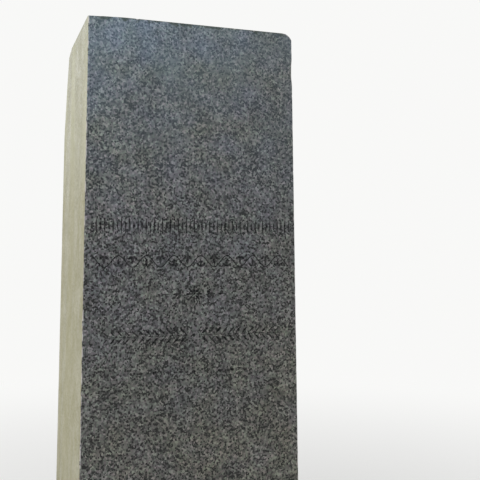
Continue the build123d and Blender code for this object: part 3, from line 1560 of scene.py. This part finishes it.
HAMMERED = GraniteFinish(
    Dressing.HAMMERED,
    brightness=1.75,
    bleach=0.30,
    tint=(1.02, 1.0, 0.95),
    roughness=(0.7, 0.9),
    relief_size=1.8 * MM,
    relief_depth=0.35 * MM,
    relief_detail=(4.0, 0.65),
    pit_depth=0.7 * MM,
    weathering=Weathering(algae_and_painted_reflection_share=0.14, soil_share=0.35, soil_reach=0.30, lichen_share=0.20),
)


@dataclass
class Plinth(HewnStone):
    """The hammered stone under the pillar, weathered round its top."""

    node: str = "plinth"
    name: str = "plinth_stone"
    slot: str = "hammered_granite"
    margin: float = 28 * MM
    slope: float = 3 * MM
    spacing: float = 4.2 * MM
    faces: FaceRelief = FaceRelief(3 * MM, 1.3 * MM, 0.5 * MM, 11 * MM, 5 * MM, 3.0)
    finish: GraniteFinish = HAMMERED
    arris: float = 2 * MM
    shoulder: float = 22 * MM
    run: float = 34 * MM
    ledge: float = 125 * MM
    chips: ArrisChips = ArrisChips(26 * MM, largest=11 * MM, seed=8)

    def rings(self) -> list[Ring]:
        """The rings of the stone, from its foot up.

        Returns:
            The rings.
        """
        low, top, shoulder = self.low.z, self.high.z, self.high.z - self.shoulder
        arris, run, spacing = self.arris, self.run, self.spacing
        fall = self.shoulder / run
        return [
            Ring(self.core, low),
            Ring(arris, low),
            Ring(arris * 0.3, low + arris * 0.3, 0.5),
            Ring(0, low + arris, 1),
            *self.side_rings(shoulder, low + 2 * arris, shoulder - 2 * arris),
            Ring(0, shoulder - arris, 1, lift=0.1),
            Ring(arris * 0.3, shoulder - arris * 0.2, 0.6, lift=0.4),
            *(Ring(x, shoulder + fall * x, 1, lift=0.6) for x in steps(2 * arris, run - arris, spacing)),
            Ring(run - arris, top - fall * arris * 1.1, 1, lift=0.7),
            Ring(run + arris, top - 0.2 * arris, 1, lift=1),
            *(Ring(x, top, 1, lift=1) for x in steps(run + 2 * arris, self.ledge, spacing)),
            Ring(self.ledge, top),
        ]


@dataclass
class FootingSlab(HewnStone):
    """The slab on the ground, rock-faced inside a drafted margin on each side."""

    node: str = "footing_slab"
    name: str = "footing_stone"
    slot: str = "rock_faced_granite"
    margin: float = 16 * MM
    slope: float = 17 * MM
    spacing: float = 4 * MM
    faces: FaceRelief = FaceRelief(14 * MM, 11 * MM, 1.2 * MM, 52 * MM, 15 * MM, 7.0)
    finish: GraniteFinish = replace(
        HAMMERED,
        dressing=Dressing.ROCK_FACED,
        brightness=1.8,
        roughness=(0.75, 0.95),
        relief_size=2.4 * MM,
        relief_depth=0.7 * MM,
        pit_size=9 * MM,
        pit_depth=1.0 * MM,
        weathering=Weathering(algae_and_painted_reflection_share=0.14, soil_share=0.8, soil_reach=0.15, lichen_share=0.25),
    )
    arris: float = 6 * MM
    shoulder: float = 3 * MM
    ledge: float = 110 * MM
    chips: ArrisChips = ArrisChips(30 * MM, largest=14 * MM, seed=12)

    def rings(self) -> list[Ring]:
        """The rings of the stone, from its foot up.

        Returns:
            The rings.
        """
        low, top, arris, spacing = self.low.z, self.high.z, self.arris, self.spacing
        easing = (0.0, 0.35, 0.7, 1.0)
        return [
            Ring(self.core, low),
            Ring(0, low),
            *self.side_rings(top - arris, low + spacing, top - arris),
            *(Ring(arris * share, top - arris * (1 - share), 0.8, lift=0.5) for share in easing),
            *(Ring(x, top, 1, lift=1) for x in steps(arris + spacing, self.ledge, spacing)),
            Ring(self.ledge, top),
        ]


@dataclass
class MortarBed(RingedPart):
    """A thin bed of mortar between two stones, pointed back and weathered uneven."""

    seed: float = field(kw_only=True)
    slot: str = "mortar"
    margin: float = 4 * MM
    slope: float = 4 * MM
    spacing: float = 3 * MM
    faces: FaceRelief = FaceRelief(0.0, 3.5 * MM, 3.5 * MM, 22 * MM, 5 * MM, 0.0)
    finish: MortarFinish = MortarFinish()
    hollow: float = 1.5 * MM
    core: float = 30 * MM

    def rings(self) -> list[Ring]:
        """The rings of the bed, pointed in between the stones.

        Returns:
            The rings.
        """
        low, high = self.low.z, self.high.z
        rings = [Ring(self.core, low), Ring(0, low)]
        for share in (0.15, 0.35, 0.5, 0.65, 0.85):
            rings.append(Ring(self.hollow * math.sin(math.pi * share), low + (high - low) * share, 1.0))
        return rings + [Ring(0, high), Ring(self.core, high)]

    def build(self) -> None:
        """Makes and dresses the bed."""
        self.faces = replace(self.faces, seed=self.seed)
        self.dress(self.worked())


@dataclass
class Studio:
    """The pale floor, the soft light and the camera at the photograph's place."""

    eye: Vector = Vector((-0.4765, -1.9508, 1.2324))
    heading: float = math.radians(18.91)
    pitch: float = math.radians(0.24)
    roll: float = math.radians(0.30)
    lens: float = 57.6
    sensor: float = 36.0
    farthest: float = 200.0
    backdrop: Colour = (0.94, 0.94, 0.93)
    floor_colour: Colour = (0.90, 0.90, 0.89)
    floor_reach: float = 30.0
    floor_fade: Span = (0.9, 5.0)
    ambient: float = 0.74
    key_power: float = 110.0
    key_size: float = 3.0
    key_place: Vector = Vector((-2.6, -3.6, 4.2))
    key_target: Vector = Vector((0, 0, 0.9))

    def aim(self, made: Object, place: Vector, way: Vector, roll: float = 0.0) -> None:
        """Puts a camera or a lamp in its place."""
        turn = way.to_track_quat("-Z", "Y").to_matrix().to_4x4()
        made.matrix_world = Matrix.Translation(place) @ turn @ Matrix.Rotation(roll, 4, "Z")

    def camera(self) -> None:
        """Sets the camera where the photograph was taken from."""
        data = bpy.data.cameras.new("camera")
        data.lens = self.lens
        data.sensor_width = self.sensor
        data.clip_end = self.farthest
        made = linked("camera", data)
        level = math.cos(self.pitch)
        way = Vector((math.sin(self.heading) * level, math.cos(self.heading) * level, math.sin(self.pitch)))
        self.aim(made, self.eye, way, self.roll)
        bpy.context.scene.camera = made

    def floor(self) -> None:
        """Lays the floor, which fades into the backdrop."""
        mesh = bpy.data.meshes.new("floor")
        corners = [Vector((*corner.value, 0)) * self.floor_reach for corner in Corner]
        mesh.from_pydata(corners, [], [(0, 1, 2, 3)])
        shader = ShaderTree("floor")
        glow = shader.add("ShaderNodeEmission", {"Color": self.backdrop}).outputs[0]
        far = shader.eased(shader.vector("LENGTH", shader.place), *self.floor_fade)
        shader.join(shader.backed(shader.shader.outputs[0], glow, far), shader.output.inputs["Surface"])
        given = {"Base Color": self.floor_colour, "Roughness": 0.9, "Specular IOR Level": 0.1}
        mesh.materials.append(shader.finished(given))
        linked("floor", mesh)

    def world(self) -> None:
        """Lights the object evenly from all round, and shows a pale backdrop."""
        world = bpy.data.worlds.new("studio")
        bpy.context.scene.world = world
        world.use_nodes = True
        tree = NodeTree(world.node_tree)
        light = tree.add("ShaderNodeBackground", {"Color": grey(1.0), "Strength": self.ambient}).outputs[0]
        shown = tree.add("ShaderNodeBackground", {"Color": self.backdrop}).outputs[0]
        tree.add("ShaderNodeOutputWorld", {"Surface": tree.backed(light, shown)})

    def key(self) -> None:
        """Hangs one large soft lamp above the front left."""
        data = bpy.data.lights.new("key", "AREA")
        data.energy = self.key_power
        data.size = self.key_size
        self.aim(linked("key", data), self.key_place, self.key_target - self.key_place)

    def build(self) -> None:
        """Sets up the whole studio."""
        self.camera()
        self.floor()
        self.world()
        self.key()
        bpy.context.scene.view_settings.view_transform = "Standard"


def main() -> None:
    """Builds the studio and the tombstone."""
    logging.basicConfig(level=logging.INFO, format="%(message)s")
    Studio().build()
    lower_bed = MortarBed("plinth_bed", "plinth_bed_mortar", seed=1.0)
    upper_bed = MortarBed("pillar_bed", "pillar_bed_mortar", seed=2.0)
    for piece in (FootingSlab(), lower_bed, Plinth(), upper_bed, Pillar()):
        piece.build()


if __name__ == "__main__":
    main()
